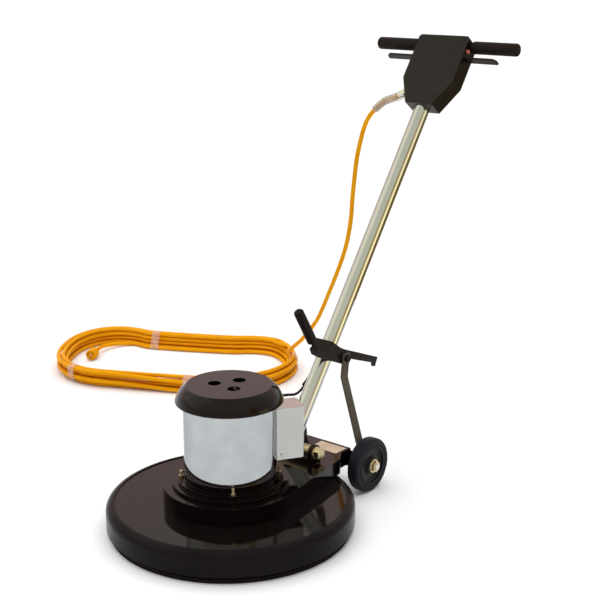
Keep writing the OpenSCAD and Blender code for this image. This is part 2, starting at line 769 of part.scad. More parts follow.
// Handle
module handle_bracket() {
    ear_out = ear_in + ear_t;
    color([0.12, 0.09, 0.09]) difference() {
        union() {
            translate([-ear_out, pivot_y - ear_half_w, frame_top]) cube([2 * ear_out, 2 * ear_half_w, pad_plate_h]);
            both_sides() {
                translate([ear_in, pivot_y - ear_half_w, frame_top]) cube([ear_t, 2 * ear_half_w, pivot_rise]);
                translate([0, pivot_y, pivot_z]) bar_x(ear_half_w, ear_in, ear_out);
            }
        }
        translate([0, pivot_y, pivot_z]) bar_x(pivot_d / 2 + run_gap, -ear_out - 1, ear_out + 1);
        translate([-ear_out - 1, pivot_y - ear_half_w - 1, frame_top - 2 * ear_half_w])
            cube([2 * ear_out + 2, 2 * ear_half_w + 2, 2 * ear_half_w]);
    }
}

module pivot_bolt() {
    ear_out = ear_in + ear_t;
    color([0.80, 0.74, 0.55]) translate([0, pivot_y, pivot_z]) {
        bar_x(pivot_d / 2, -ear_out - 16, ear_out + 1);
        bar_x(bolt_head_r + 1, ear_out, ear_out + washer_h);
        hex_x(bolt_head_r, ear_out + washer_h, ear_out + washer_h + bolt_head_h);
    }
}

module pivot_nut() {
    ear_out = ear_in + ear_t;
    color([0.80, 0.74, 0.55]) translate([0, pivot_y, pivot_z]) difference() {
        hex_x(bolt_head_r, -ear_out - 12, -ear_out);
        bar_x(pivot_d / 2 + run_gap, -ear_out - 20, 0);
    }
}

module pivot_sleeve() {
    color([0.8, 0.76, 0.62]) translate([0, pivot_y, pivot_z]) difference() {
        bar_x(sleeve_d / 2, -sleeve_l / 2, sleeve_l / 2);
        bar_x(pivot_d / 2 + run_gap, -sleeve_l, sleeve_l);
    }
}

module handle_tube() {
    color([0.83, 0.83, 0.8]) on_handle() difference() {
        translate([0, 0, tube_start]) cylinder(r = tube_r, h = tube_top - tube_start);
        translate([0, 0, tube_start - 1]) cylinder(r = tube_r - tube_wall, h = tube_top);
        bar_x(sleeve_d / 2 + seat_gap, -sleeve_l, sleeve_l);
        translate([-tube_r, 0, cable_z]) rotate([0, 180 + cable_slant, 0]) translate([0, 0, -tube_d / 2])
            cylinder(d = cable_d + 2 * slide_gap, h = tube_d);
    }
}

module handlebar() {
    color([0.3, 0.3, 0.32]) on_handle() translate([0, 0, bar_reach]) difference() {
        bar_x(bar_d / 2, -bar_l / 2, bar_l / 2);
        bar_x(bar_d / 2 - 2, -bar_l, bar_l);
    }
}

module grip(side) {
    color([0.1, 0.1, 0.1]) on_handle() translate([0, 0, bar_reach]) mirror([side < 0 ? 1 : 0, 0, 0])
        difference() {
            union() {
                bar_x(grip_d / 2, grip_in, grip_end - grip_bevel);
                translate([grip_end - grip_bevel, 0, 0]) rotate([0, 90, 0])
                    cylinder(r1 = grip_d / 2, r2 = grip_d / 2 - grip_bevel, h = grip_bevel);
            }
            bar_x(bar_d / 2 + seat_gap, grip_in - 1, bar_l / 2 + 0.5);
        }
}

module grip_left() { grip(1); }
module grip_right() { grip(-1); }

// Switch box
module box_outline(inset) {
    half = box_w / 2 - inset;
    side = [[half - box_chamfer, box_top - inset], [half, box_top - inset - box_chamfer],
        [half, box_shoulder + inset * tan(box_slope / 2)],
        [box_low_w / 2 - inset * tan(45 - box_slope / 2), box_low + inset]];
    polygon(concat(side, [for (i = [3 : -1 : 0]) [-side[i].x, side[i].y]]));
}

module box_slab(inset, from, to) {
    translate([0, to, 0]) rotate([90, 0, 0]) linear_extrude(to - from) box_outline(inset);
}

module at_screws() {
    both_sides() for (p = screw_spots) translate([p.x, 0, p.y]) rotate([-90, 0, 0]) children();
}

module switch_box() {
    color([0.1, 0.1, 0.1]) on_handle() difference() {
        union() {
            difference() {
                box_slab(0, box_front, cover_y);
                box_slab(box_wall, box_front + box_wall, cover_y + 1);
            }
            translate([-socket_half, box_front + 1, box_low + socket_z])
                cube([2 * socket_half, cover_y - box_front - 1, socket_h]);
            at_screws() translate([0, 0, box_front + 1]) cylinder(r = 4, h = cover_y - box_front - 1);
        }
        translate([0, 0, box_low - 1]) cylinder(r = tube_r + seat_gap, h = tube_top - box_low + 20);
        translate([0, 0, bar_reach]) bar_x(bar_d / 2 + seat_gap, -box_w, box_w);
        translate([0, rod_y, rod_z]) bar_x(rod_d / 2 + run_gap, -box_w, box_w);
        translate([0, button_y, bar_reach - button_drop]) bar_x(button_d / 2 + run_gap, 0, box_w);
        translate([gland_x, 0, gland_z]) rotate([0, -90 - box_slope, 0]) translate([0, 0, -10]) cylinder(r = 7, h = 20);
        at_screws() translate([0, 0, cover_y - 10]) cylinder(d = screw_d + 2 * seat_gap, h = 20);
    }
}

module box_cover() {
    color([0.1, 0.1, 0.1]) on_handle() difference() {
        box_slab(0, cover_y, cover_y + box_wall);
        at_screws() translate([0, 0, cover_y - 1]) cylinder(d = screw_d + 2 * seat_gap, h = box_wall + 2);
    }
}

module box_screws() {
    color([0.6, 0.6, 0.6]) on_handle() at_screws() {
        translate([0, 0, cover_y - 8]) cylinder(d = screw_d, h = box_wall + 9);
        translate([0, 0, cover_y + box_wall]) cylinder(r = 3.2, h = 2);
    }
}

module power_switch() {
    color([0.25, 0.25, 0.28]) on_handle()
        translate([22, box_front + box_wall, rod_z + 9]) cube([28, 20, lever_drop - 9 - bar_d / 2 - 1]);
}

module switch_levers() {
    front = rod_y - blade_lip;
    color([0.16, 0.15, 0.15]) on_handle() translate([0, 0, rod_z]) {
        translate([0, rod_y, 0]) bar_x(rod_d / 2, -blade_in - 4, blade_in + 4);
        both_sides() translate([0, 0, -blade_t / 2]) linear_extrude(blade_t) polygon([[blade_in, front],
            [blade_reach - blade_cut, front], [blade_reach, front + blade_cut], [blade_reach, front + blade_w],
            [blade_in, front + blade_w]]);
        translate([24, rod_y, -2]) cube([24, 16, 4]);
    }
}

module lockout_button() {
    wall_in = box_w / 2 - box_wall;
    color([0.75, 0.35, 0.28]) on_handle() translate([0, button_y, bar_reach - button_drop]) {
        bar_x(button_d / 2, wall_in - 9, box_w / 2 + button_proud);
        bar_x(button_d / 2 + 1.5, wall_in - 3, wall_in - 0.5);
    }
}

module cord_connector() {
    color([0.82, 0.82, 0.8]) on_handle() translate([gland_x, 0, gland_z]) rotate([0, -90 - box_slope, 0])
        difference() {
            union() {
                cylinder(r = 14, h = gland_nut_h, $fn = 6);
                cylinder(r = gland_r, h = gland_l);
            }
            translate([0, 0, -1]) cylinder(r = cord_r + 1.2, h = gland_l + 2);
        }
}

module relief_spring() {
    color([0.8, 0.78, 0.72]) sweep_tube(relief_wire, wire_d / 2, 6);
}

module at_cable() {
    on_handle() translate([-tube_r, 0, cable_z]) rotate([0, 180 + cable_slant, 0]) children();
}

module cable_bush() {
    color([0.1, 0.1, 0.1]) difference() {
        at_cable() translate([0, 0, -bush_in]) cylinder(r = bush_r, h = bush_in + bush_out);
        at_cable() translate([0, 0, -tube_d]) cylinder(d = cable_d + 2 * slide_gap, h = 2 * tube_d);
        on_handle() cylinder(r = tube_r + seat_gap, h = 2 * cable_z);
    }
}

module motor_cable() {
    color([0.09, 0.09, 0.09]) sweep_tube(curve(cable_route, 2), cable_d / 2, 8);
}

// Height clamp, struts and lock lever
module clamp_block() {
    color([0.14, 0.13, 0.13]) difference() {
        union() {
            on_handle() translate([-block_half, -block_depth, clamp_z - clamp_h / 2])
                cube([2 * block_half, 2 * block_depth, clamp_h]);
            both_sides() at_clamp() {
                bar_x(13, block_half - ear_w, block_half);
                translate([block_half - ear_w, block_depth - bolt_back - 2, -13])
                    cube([ear_w, bolt_back - block_depth + 2, 26]);
            }
        }
        on_handle() cylinder(r = tube_r + slide_gap, h = bar_reach);
        at_clamp() bar_x(bolt_d / 2 + run_gap, -block_half - 1, block_half + 1);
        at_clamp() translate([-block_half + ear_w, -8, -15]) cube([2 * (block_half - ear_w), 30, 30]);
    }
}

module strut_bolt() {
    color([0.7, 0.66, 0.5]) at_clamp() {
        bar_x(bolt_d / 2, -bolt_half - 6, bolt_half + 1);
        hex_x(9, bolt_half, bolt_half + 6);
        hex_x(9, -bolt_half - 6, -bolt_half);
    }
}

module lock_lever() {
    color([0.14, 0.13, 0.13]) at_clamp() {
        difference() {
            plate_x(lever_x, lever_x + lever_t) polygon(lever_outline);
            bar_x(bolt_d / 2 + run_gap, lever_x - 1, lever_x + lever_t + 1);
        }
        translate([lever_x + lever_t / 2, lock_root.x, lock_root.y]) rotate([90 - lock_rise, 0, 0])
            translate([0, 0, -lock_rod_in]) cylinder(d = lock_rod_d, h = lock_grip_l + lock_rod_in - 6);
    }
}

module lock_grip() {
    color([0.1, 0.1, 0.1]) at_clamp() translate([lever_x + lever_t / 2, lock_root.x, lock_root.y])
        rotate([90 - lock_rise, 0, 0]) difference() {
            translate([0, 0, 14]) union() {
                cylinder(d = lock_grip_d, h = lock_grip_l - 14 - 4);
                translate([0, 0, lock_grip_l - 18]) cylinder(d1 = lock_grip_d, d2 = lock_grip_d - 8, h = 4);
            }
            cylinder(d = lock_rod_d + 2 * seat_gap, h = lock_grip_l - 5);
        }
}

module strut(side) {
    knee = strut_l - strut_knee;
    foot = 42;
    color([0.2, 0.18, 0.17]) on_strut() mirror([side < 0 ? 1 : 0, 0, 0]) difference() {
        union() {
            translate([0, strut_w / 2, 0]) rotate([90, 0, 0]) linear_extrude(strut_w) polygon([
                [strut_x, strut_l + 12], [strut_x + strut_t, strut_l + 12], [strut_x + strut_t, knee],
                [strut_low_x + strut_t, foot], [strut_low_x + strut_t, 0], [strut_low_x, 0],
                [strut_low_x, foot], [strut_x, knee]]);
            translate([0, -play_front / 2, 0]) bar_x(strut_eye_r, strut_low_x, strut_low_x + strut_t);
        }
        translate([0, 0, strut_l]) bar_x(bolt_d / 2 + run_gap, strut_x - 1, strut_x + strut_t + 1);
        translate([0, -play_front / 2, play_up / 2]) bar_x(eye_hole_r, strut_low_x - 1, strut_low_x + strut_t + 1);
    }
}

module strut_left() { strut(1); }
module strut_right() { strut(-1); }

// Supply cord
module power_cord() {
    color([0.95, 0.62, 0.05]) sweep_tube(curve(cord_route, 2), cord_r, 8);
}

module cord_hank() {
    color([0.95, 0.62, 0.05]) sweep_tube(hank_path, cord_r, 6);
}

// Each tie is a flat band round all the strands at one ring of the loops
module hank_ties() {
    inner_h = hank_rise * (hank_layers - 1) + cord_d + 2 * tie_gap;
    color([0.9, 0.75, 0.6]) for (k = tie_rings) {
        strands = [for (ring = [k : loop_rings : last_ring]) if (ring >= first_ring) hank_r(ring)];
        inner_w = max(strands) - min(strands) + cord_d + 2 * tie_gap + tie_play;
        q = loop_point(k, (max(strands) + min(strands) - tie_play) / 2);
        w = hank_frame(q.x, q.y);
        translate([w.x, w.y, hank_z - cord_r - tie_gap]) rotate(hank_heading + loop_angle(k)) difference() {
            translate([-inner_w / 2 - tie_t, -tie_w / 2, -tie_t]) cube([inner_w + 2 * tie_t, tie_w, inner_h + 2 * tie_t]);
            translate([-inner_w / 2, -tie_w, 0]) cube([inner_w, 2 * tie_w, inner_h]);
        }
    }
}

module at_plug() { translate(plug_at) rotate([0, 90, plug_heading]) rotate(90) children(); }

module plug_body() {
    color([0.93, 0.6, 0.06]) at_plug() {
        cylinder(r1 = 8, r2 = 11, h = 20);
        translate([0, 0, 20]) cylinder(r = plug_r, h = plug_l - 20);
    }
}

module plug_blades() {
    color([0.85, 0.75, 0.5]) at_plug() {
        for (s = [-1, 1]) translate([s * 6.35 - 0.75, 2, plug_l]) cube([1.5, 6.3, 18]);
        translate([0, -6.5, plug_l]) cylinder(d = 4.8, h = 20);
    }
}

deck_shell();
rim_bumper();
frame_casting();
nameplate();
end_bell();
motor_studs();
motor_shell();
stator_core();
stator_windings();
lower_bearing();
upper_bearing();
bearing_plate();
motor_cap();
cap_screws();
capacitor_cover();
start_capacitor();
cover_screws();
motor_shaft();
rotor_core();
cooling_fan();
drive_hub();
pad_driver();
burnishing_pad();
axle();
axle_nuts();
tyre_left();
tyre_right();
hub_left();
hub_right();
handle_bracket();
pivot_bolt();
pivot_nut();
pivot_sleeve();
handle_tube();
handlebar();
grip_left();
grip_right();
switch_box();
box_cover();
box_screws();
power_switch();
switch_levers();
lockout_button();
cord_connector();
relief_spring();
cable_bush();
motor_cable();
clamp_block();
strut_bolt();
lock_lever();
lock_grip();
strut_left();
strut_right();
power_cord();
cord_hank();
hank_ties();
plug_body();
plug_blades();
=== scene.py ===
# %% [markdown]
# # A high speed floor burnisher
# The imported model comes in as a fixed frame: every solid is where the machine has it, in metres, with the
# origin on the floor under the motor. This lesson dresses that frame: it keeps the solids whose shape is
# right, makes the soft and rounded pieces anew, and gives each piece a finish made of shader nodes.

# %% Load the frame
import json
import math
import bpy
from mathutils import Matrix, Vector


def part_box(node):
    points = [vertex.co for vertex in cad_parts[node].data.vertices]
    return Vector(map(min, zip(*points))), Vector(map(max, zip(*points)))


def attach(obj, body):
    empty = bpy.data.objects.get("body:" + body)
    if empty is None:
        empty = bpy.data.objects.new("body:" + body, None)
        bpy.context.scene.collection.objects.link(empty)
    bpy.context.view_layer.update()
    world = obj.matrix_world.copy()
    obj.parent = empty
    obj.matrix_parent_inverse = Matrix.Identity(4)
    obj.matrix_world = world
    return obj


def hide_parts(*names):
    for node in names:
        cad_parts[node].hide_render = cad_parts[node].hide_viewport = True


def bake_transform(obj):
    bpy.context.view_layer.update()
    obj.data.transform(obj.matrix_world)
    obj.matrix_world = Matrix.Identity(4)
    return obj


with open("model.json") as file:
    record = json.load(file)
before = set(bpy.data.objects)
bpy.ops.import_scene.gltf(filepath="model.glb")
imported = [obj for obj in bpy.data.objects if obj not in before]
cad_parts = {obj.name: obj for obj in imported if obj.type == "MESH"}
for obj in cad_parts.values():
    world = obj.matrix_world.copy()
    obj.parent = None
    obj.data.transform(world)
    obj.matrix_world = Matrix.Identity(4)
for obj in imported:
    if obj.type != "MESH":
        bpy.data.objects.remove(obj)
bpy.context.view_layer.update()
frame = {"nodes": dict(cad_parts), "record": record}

slot_of = {part["node"]: part["material_slot"] for part in frame["record"]["subparts"]}
body_of = {node: body for body, nodes in frame["record"]["behaviour"]["bodies"].items() for node in nodes}

# %% [markdown]
# ## Camera
# The photograph was taken from the front left, from a little above the handlebar. The camera's place and its
# three directions were worked out from points of the machine whose place is known, so they are written as
# they are. A long lens keeps the uprights almost parallel, as in a catalogue picture.

# %% Camera
CAMERA_AT = (1.668, -1.8177, 1.2037)
RIGHT = Vector((0.7765, 0.6301, 0))
UP = Vector((-0.1706, 0.2103, 0.9627))
BACK = Vector((0.6066, -0.7475, 0.2708))
LENS_MM = 73.97
SENSOR_MM = 36
bpy.ops.object.camera_add(location=CAMERA_AT)
camera = bpy.context.object
camera.rotation_euler = Matrix((RIGHT, UP, BACK)).transposed().to_euler()
camera.data.lens = LENS_MM
camera.data.sensor_width = SENSOR_MM
bpy.context.scene.camera = camera
print("camera:", [round(x, 3) for x in camera.location], camera.data.lens, "mm")

# %% [markdown]
# ## Helpers for pieces
# An operator acts on everything that is selected, so each piece starts from an empty selection. A finished
# piece is settled in three steps: its place is applied to its mesh, it rides on its body, and it stands for
# the solid that it replaces.

# %% Helpers for pieces
def start_clean():
    if bpy.context.object and bpy.context.object.mode != "OBJECT":
        bpy.ops.object.mode_set(mode="OBJECT")
    bpy.ops.object.select_all(action="DESELECT")


def only(piece):
    start_clean()
    piece.select_set(True)
    bpy.context.view_layer.objects.active = piece


def settle(piece, name, slot, body=None, nodes=(), angle=40):
    """Applies the place, smooths the shading, and names what the piece rides on and stands for."""
    only(piece)
    bpy.ops.object.transform_apply(location=True, rotation=True, scale=True)
    if angle:
        bpy.ops.object.shade_smooth_by_angle(angle=math.radians(angle))
    piece.name = piece.data.name = name
    piece.data.materials.clear()
    if body:
        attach(piece, body)
    if nodes:
        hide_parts(*nodes)
    dressed.append((piece, slot))
    return piece


dressed = []
print("helpers ready")

# %% [markdown]
# ## Supply cord
# The cord leaves the switch box through its spring relief, hangs in one long line down to the floor, and is
# wound there into a hank of eight loops in four layers. The route repeats the points of the solid, in
# millimetres. A smooth curve passes through each point, so the cord has no corners. One tube follows the
# whole route.

# %% Cord route
CORD_D = 0.012
CORD_STEPS = 8
CORD_ROUTE = [(-76.3, 727.3, 865.1), (-96, 721.6, 857.1), (-117.8, 717.6, 848.2), (-139.1, 716.6, 832),
    (-158.7, 717.4, 813.4), (-175.1, 720.3, 791.6), (-189, 725.2, 765.3), (-201.6, 730.6, 734),
    (-214, 735, 694), (-220, 737, 662), (-226, 739, 622), (-231, 740, 580), (-235, 742, 540),
    (-243, 744, 496), (-256, 749, 455), (-273, 755, 415), (-293, 761, 375), (-315, 769, 335),
    (-338, 776, 294), (-362, 784, 252), (-390, 794, 210), (-425, 806, 171), (-465, 820, 132),
    (-500, 832, 104), (-526, 843, 84), (-546, 856, 70), (-561, 876, 62), (-577, 898, 59),
    (-597, 920, 57.5), (-623, 935.6, 54.6), (-652, 947.5, 48.4), (-667.3, 952.6, 46), (-680.6, 957.1, 45.6)]


def smooth(a, b, c, d, t):
    """The value at t between b and c, on a curve that also heeds the neighbours a and d."""
    return 0.5 * (2 * b + (c - a) * t + (2 * a - 5 * b + 4 * c - d) * t ** 2
        + (3 * b - a - 3 * c + d) * t ** 3)


def curve_through(points, steps):
    """Points on a smooth curve that passes through the given ones, millimetres in and metres out."""
    p = [Vector(q) / 1000 for q in points]
    path = []
    for i in range(len(p) - 1):
        near = p[max(i - 1, 0)], p[i], p[i + 1], p[min(i + 2, len(p) - 1)]
        path += [smooth(*near, j / steps) for j in range(steps)]
    return path + [p[-1]]


free_cord = curve_through(CORD_ROUTE, CORD_STEPS)
print("free cord:", len(free_cord), "points")

# %% Hank route
HANK_AT = Vector((-0.855, 0.700))
HANK_HEADING = math.radians(27)
HANK_END_R = 0.222
HANK_RUN = 0.290
HANK_STEP = 0.0145
HANK_RISE = 0.0128
HANK_Z = 0.0072
LAYERS = 4
RINGS = 24
RING_TURN = 18
FIRST_RING, LAST_RING = 9, 206
RING_PARTS = 3
# Rings of the count at which the cord goes down a layer, which is every second loop
LAYER_CHANGES = (2 * RINGS, 4 * RINGS, 6 * RINGS)
# How far the loops swell outwards at each of the 24 rings, in millimetres
SWELL = (14, 10, 4, 0, 0, 0, 0, 0, 0, 0, -20, -42, -48, -44, -14, 10, 12, 3, -6, -5, 3, 11, 14, 14)


def swell_at(ring):
    """The swell between two rings, on a smooth curve through its four neighbours."""
    i = math.floor(ring)
    return smooth(*(SWELL[(i + j) % RINGS] / 1000 for j in (-1, 0, 1, 2)), ring - i)


def hank_r(ring):
    """The loops spiral outwards for two turns and inwards for the next two, and so on again."""
    loop = ring / RINGS
    return HANK_END_R - HANK_STEP * abs(loop - (2 if loop < 4 else 6)) + swell_at(ring)


def eased(t):
    """A ramp from 0 to 1 that starts and ends gently."""
    t = min(max(t, 0), 1)
    return t * t * (3 - 2 * t)


def on_floor(u, v, z):
    """A point of the hank: u along its runs, v across them."""
    c, s = math.cos(HANK_HEADING), math.sin(HANK_HEADING)
    return Vector((HANK_AT.x + u * c - v * s, HANK_AT.y + u * s + v * c, z))


def hank_point(ring):
    """A point of the loops: rings 1 to 11 and 13 to 23 go round the two ends, and the rest are the runs."""
    r = hank_r(ring)
    layer = LAYERS - 1 - sum(eased((ring - change + 1) / 2) for change in LAYER_CHANGES)
    k = ring % RINGS
    if k <= 1 or k >= 23:
        u, v = (k if k <= 1 else k - RINGS) * HANK_RUN / 2, -r
    elif 11 <= k <= 13:
        u, v = (12 - k) * HANK_RUN / 2, r
    else:
        side = 1 if k < 12 else -1
        a = math.radians(-90 + (k - 1) * RING_TURN if k < 12 else 90 + (k - 13) * RING_TURN)
        u, v = side * HANK_RUN / 2 + r * math.cos(a), r * math.sin(a)
    return on_floor(u, v, HANK_Z + HANK_RISE * layer)


loops = [hank_point(FIRST_RING + i / RING_PARTS) for i in range((LAST_RING - FIRST_RING) * RING_PARTS + 1)]
print("hank:", len(loops), "points")

# %% Tail and plug end
TAIL_R = 0.110
TAIL_FROM, TAIL_TURN = math.radians(108), math.radians(72)
TAIL_STEPS = 12
PLUG_Z = 0.017
PLUG_LEAD = 0.014
inset = hank_r(LAST_RING) - TAIL_R
tail_mid = Vector((inset * math.cos(TAIL_FROM) - HANK_RUN / 2, inset * math.sin(TAIL_FROM)))
tail = []
for i in range(1, TAIL_STEPS + 1):
    t = i / TAIL_STEPS
    a = TAIL_FROM + TAIL_TURN * t
    z = HANK_Z + (PLUG_Z - HANK_Z) * eased(t)
    tail.append(on_floor(tail_mid.x + TAIL_R * math.cos(a), tail_mid.y + TAIL_R * math.sin(a), z))
PLUG_HEADING = HANK_HEADING + TAIL_FROM + TAIL_TURN + math.pi / 2
PLUG_WAY = Vector((math.cos(PLUG_HEADING), math.sin(PLUG_HEADING), 0))
plug_at = tail[-1] + PLUG_LEAD * PLUG_WAY
cord_path = free_cord + loops + tail + [plug_at]
cord_length = sum((b - a).length for a, b in zip(cord_path, cord_path[1:]))
print("cord:", len(cord_path), "points,", round(cord_length, 3), "m")

# %% Cord tube
def tube_along(path, radius, sides):
    """A mesh tube along a path: a curve with a round bevel, made into a mesh."""
    start_clean()
    line = bpy.data.curves.new("line", "CURVE")
    line.dimensions = "3D"
    line.bevel_depth = radius
    line.bevel_resolution = sides // 4 - 1
    line.use_fill_caps = True
    spline = line.splines.new("POLY")
    spline.points.add(len(path) - 1)
    for point, place in zip(spline.points, path):
        point.co = (*place, 1)
    tube = bpy.data.objects.new("line", line)
    bpy.context.collection.objects.link(tube)
    only(tube)
    bpy.ops.object.convert(target="MESH")
    return bpy.context.object


supply_cord = settle(tube_along(cord_path, CORD_D / 2, 12), "supply_cord", "cord_jacket",
    nodes=("power_cord", "cord_hank"), angle=60)
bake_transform(supply_cord)
print("supply cord:", len(supply_cord.data.polygons), "faces")

# %% [markdown]
# ## Motor cable
# A short black cable leaves the tube through a rubber bush and goes forward into the back of the motor, and
# is fixed at both ends.

# %% Motor cable
CABLE_D = 0.0062
CABLE_ROUTE = [(-17.6, 291.2, 251.5), (-19, 289, 248.4), (-22.4, 283.6, 240.7), (-25.8, 278.2, 233.1),
    (-28.2, 273.1, 228), (-30, 266.6, 224.5), (-31.2, 259.2, 223.1), (-31.4, 251.7, 223.9),
    (-31.2, 232.3, 228.7), (-30.7, 213, 233.3), (-29.4, 193.5, 238), (-27.2, 174, 242.5),
    (-24, 154.5, 246.5), (-20, 135, 249.5), (-16, 116, 251), (-13, 99.4, 252)]
cable_path = curve_through(CABLE_ROUTE, CORD_STEPS)
motor_lead = settle(tube_along(cable_path, CABLE_D / 2, 12), "motor_lead", "cable_rubber",
    nodes=("motor_cable",), angle=60)
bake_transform(motor_lead)
cable_length = sum((b - a).length for a, b in zip(cable_path, cable_path[1:]))
print("motor cable:", round(cable_length, 3), "m")

# %% [markdown]
# ## Relief spring
# Where the cord leaves the box, a coil of bright wire keeps it from kinking. A helix is drawn round the
# cord's own route: at each point a frame is carried along, and the wire's point is turned round in it.

# %% Relief spring
def helix_round(stretch, turns, r0, r1, per_turn):
    """Points that wind round a stretch of a path, from one radius to another."""
    side = Vector((0, 0, 1))
    points = []
    steps = turns * per_turn
    for i in range(steps + 1):
        at = i / steps * (len(stretch) - 1)
        j = min(int(at), len(stretch) - 2)
        centre = stretch[j].lerp(stretch[j + 1], at - j)
        way = (stretch[j + 1] - stretch[j]).normalized()
        side = (side - side.dot(way) * way).normalized()
        a = math.tau * i / per_turn
        r = r0 + (r1 - r0) * i / steps
        points.append(centre + r * (math.cos(a) * side + math.sin(a) * way.cross(side)))
    return points


SPRING_FROM, SPRING_TO = 3, 27
SPRING_TURNS, POINTS_A_TURN = 19, 18
SPRING_R, SPRING_END_R, WIRE_R = 0.0096, 0.008, 0.0011
stretch = free_cord[SPRING_FROM:SPRING_TO + 1]
spring_path = helix_round(stretch, SPRING_TURNS, SPRING_R, SPRING_END_R, POINTS_A_TURN)
settle(tube_along(spring_path, WIRE_R, 8), "spring_relief", "bright_steel", "handle",
    ("relief_spring",), angle=60)
print("relief spring:", len(spring_path), "points")

# %% [markdown]
# ## Turned pieces
# Grips, tyres, hubs and the plug are all bodies of rotation. Each could be a cylinder with bevels, but a
# drawn profile gives every step and round at its true radius. One vertex is extruded along the profile, and
# the line is spun once round the X axis. Where a profile ends on the axis, the spin closes it with a pole.

# %% Turned pieces
def draw_line(points):
    """A line of edges: one vertex is put at the first point and extruded to each of the others."""
    start_clean()
    bpy.ops.mesh.primitive_plane_add(size=0.002)
    bpy.ops.object.mode_set(mode="EDIT")
    bpy.ops.mesh.merge(type="CENTER")
    bpy.ops.transform.translate(value=points[0])
    for a, b in zip(points, points[1:]):
        bpy.ops.mesh.extrude_vertices_move(TRANSFORM_OT_translate={"value": b - a})
    bpy.ops.mesh.select_all(action="SELECT")


def close_shape():
    """Joins the seam, turns all faces outwards and leaves edit mode."""
    bpy.ops.mesh.select_all(action="SELECT")
    bpy.ops.mesh.remove_doubles(threshold=1e-6)
    bpy.ops.mesh.normals_make_consistent(inside=False)
    bpy.ops.object.mode_set(mode="OBJECT")
    return bpy.context.object


def turned(profile, steps=72):
    """A body of rotation about X, from a profile of pairs: the place along X, and the radius there."""
    draw_line([Vector((x, 0, r)) for x, r in profile])
    bpy.ops.mesh.spin(steps=steps, angle=math.tau, center=(0, 0, 0), axis=(1, 0, 0))
    return close_shape()


def corner(x, r, radius, first, last, count=7):
    """Points of a round corner about (x, r), from one angle to another in degrees."""
    turns = [math.radians(first + (last - first) * i / (count - 1)) for i in range(count)]
    return [(x + radius * math.cos(a), r + radius * math.sin(a)) for a in turns]


def copy_of(piece):
    """A second piece with a mesh of its own."""
    twin = bpy.data.objects.new(piece.name, piece.data.copy())
    bpy.context.collection.objects.link(twin)
    return twin


def along(start, end):
    """The place of a turned piece that starts at one point and points to another."""
    way = Vector(end) - Vector(start)
    return Matrix.Translation(start) @ way.to_track_quat("X", "Z").to_matrix().to_4x4()


print("turning tools ready")

# %% [markdown]
# ## Grips
# The handlebar's grips and the lock lever's grip are rubber sleeves with one closed, rounded end. The
# profile goes along the bore, round the rim, along the outside and over the dome.

# %% Grips
RIM_ROUND = 0.0012


def grip_profile(length, radius, bore, dome, end_wall):
    inside = [(length - end_wall, 0), (length - end_wall, bore), (0, bore)]
    rim = corner(RIM_ROUND, radius - RIM_ROUND, RIM_ROUND, 180, 90, 4)
    end = corner(length - dome, radius - dome, dome, 90, 12)
    return inside + rim + end + [(length, 0)]


HANDLE_PIVOT = (0, 0.201, 0.1245)
HANDLE_LEAN = math.radians(-35.4)
HANDLE = Matrix.Translation(HANDLE_PIVOT) @ Matrix.Rotation(HANDLE_LEAN, 4, "X")
BAR_REACH = 1.053
GRIP_IN, GRIP_OUT = 0.080, 0.201
LEVER_GRIP_FROM = (0.027, 0.24822, 0.3651)
LEVER_GRIP_TO = (0.027, 0.19792, 0.44686)
grip = turned(grip_profile(GRIP_OUT - GRIP_IN, radius=0.0155, bore=0.0127, dome=0.0065, end_wall=0.0065))
twin = copy_of(grip)
for piece, side, name in ((grip, 1, "left"), (twin, -1, "right")):
    start, end = (HANDLE @ Vector((side * x, 0, BAR_REACH)) for x in (GRIP_IN, GRIP_OUT))
    piece.matrix_world = along(start, end)
    settle(piece, "bar_grip_" + name, "grip_rubber", "handle", ("grip_" + name,))
lever_grip = turned(grip_profile(0.096, radius=0.0115, bore=0.0053, dome=0.006, end_wall=0.008))
lever_grip.matrix_world = along(LEVER_GRIP_FROM, LEVER_GRIP_TO)
settle(lever_grip, "lever_grip", "grip_rubber", body_of["lock_grip"], ("lock_grip",))
print("grips:", len(grip.data.polygons), "and", len(lever_grip.data.polygons), "faces")

# %% [markdown]
# ## Wheels
# Each wheel is a rubber tyre on a moulded hub. The tyre's side has one moulded groove, and the hub is
# recessed between its rim and its boss. The wheel is modelled once, and the right one is a copy turned half
# round.

# %% Wheels
tyre_low, tyre_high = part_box("tyre_left")
hub_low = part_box("hub_left")[0]
TYRE_W, TYRE_R = tyre_high.x - tyre_low.x, (tyre_high.z - tyre_low.z) / 2
TYRE_BORE, TYRE_ROUND = 0.0403, 0.008
AXLE_BORE = 0.00805
WHEEL_STEPS = 96
bore_edge = [(0.0012, TYRE_BORE), (0, TYRE_BORE + 0.0014)]
groove = [(0, 0.0472), (0.001, 0.0479), (0.001, 0.0497), (0, 0.0504)]
tyre_side = bore_edge + groove + corner(TYRE_ROUND, TYRE_R - TYRE_ROUND, TYRE_ROUND, 180, 90)
tyre_profile = tyre_side + [(TYRE_W - x, r) for x, r in reversed(tyre_side)] + tyre_side[:1]
hub_profile = [(0, AXLE_BORE), (0, 0.0192), (0.0008, 0.020), (0.004, 0.020), (0.004, 0.0392),
    (0.0048, 0.040), (0.0262, 0.040), (0.027, 0.0392), (0.027, 0.0345), (0.0245, 0.0335),
    (0.0245, 0.0232), (0.027, 0.0222), (0.027, 0.0206), (0.0278, 0.020), (0.0312, 0.020),
    (0.032, 0.0192), (0.032, AXLE_BORE), (0, AXLE_BORE)]
axis_y, axis_z = (tyre_low.y + tyre_high.y) / 2, (tyre_low.z + tyre_high.z) / 2
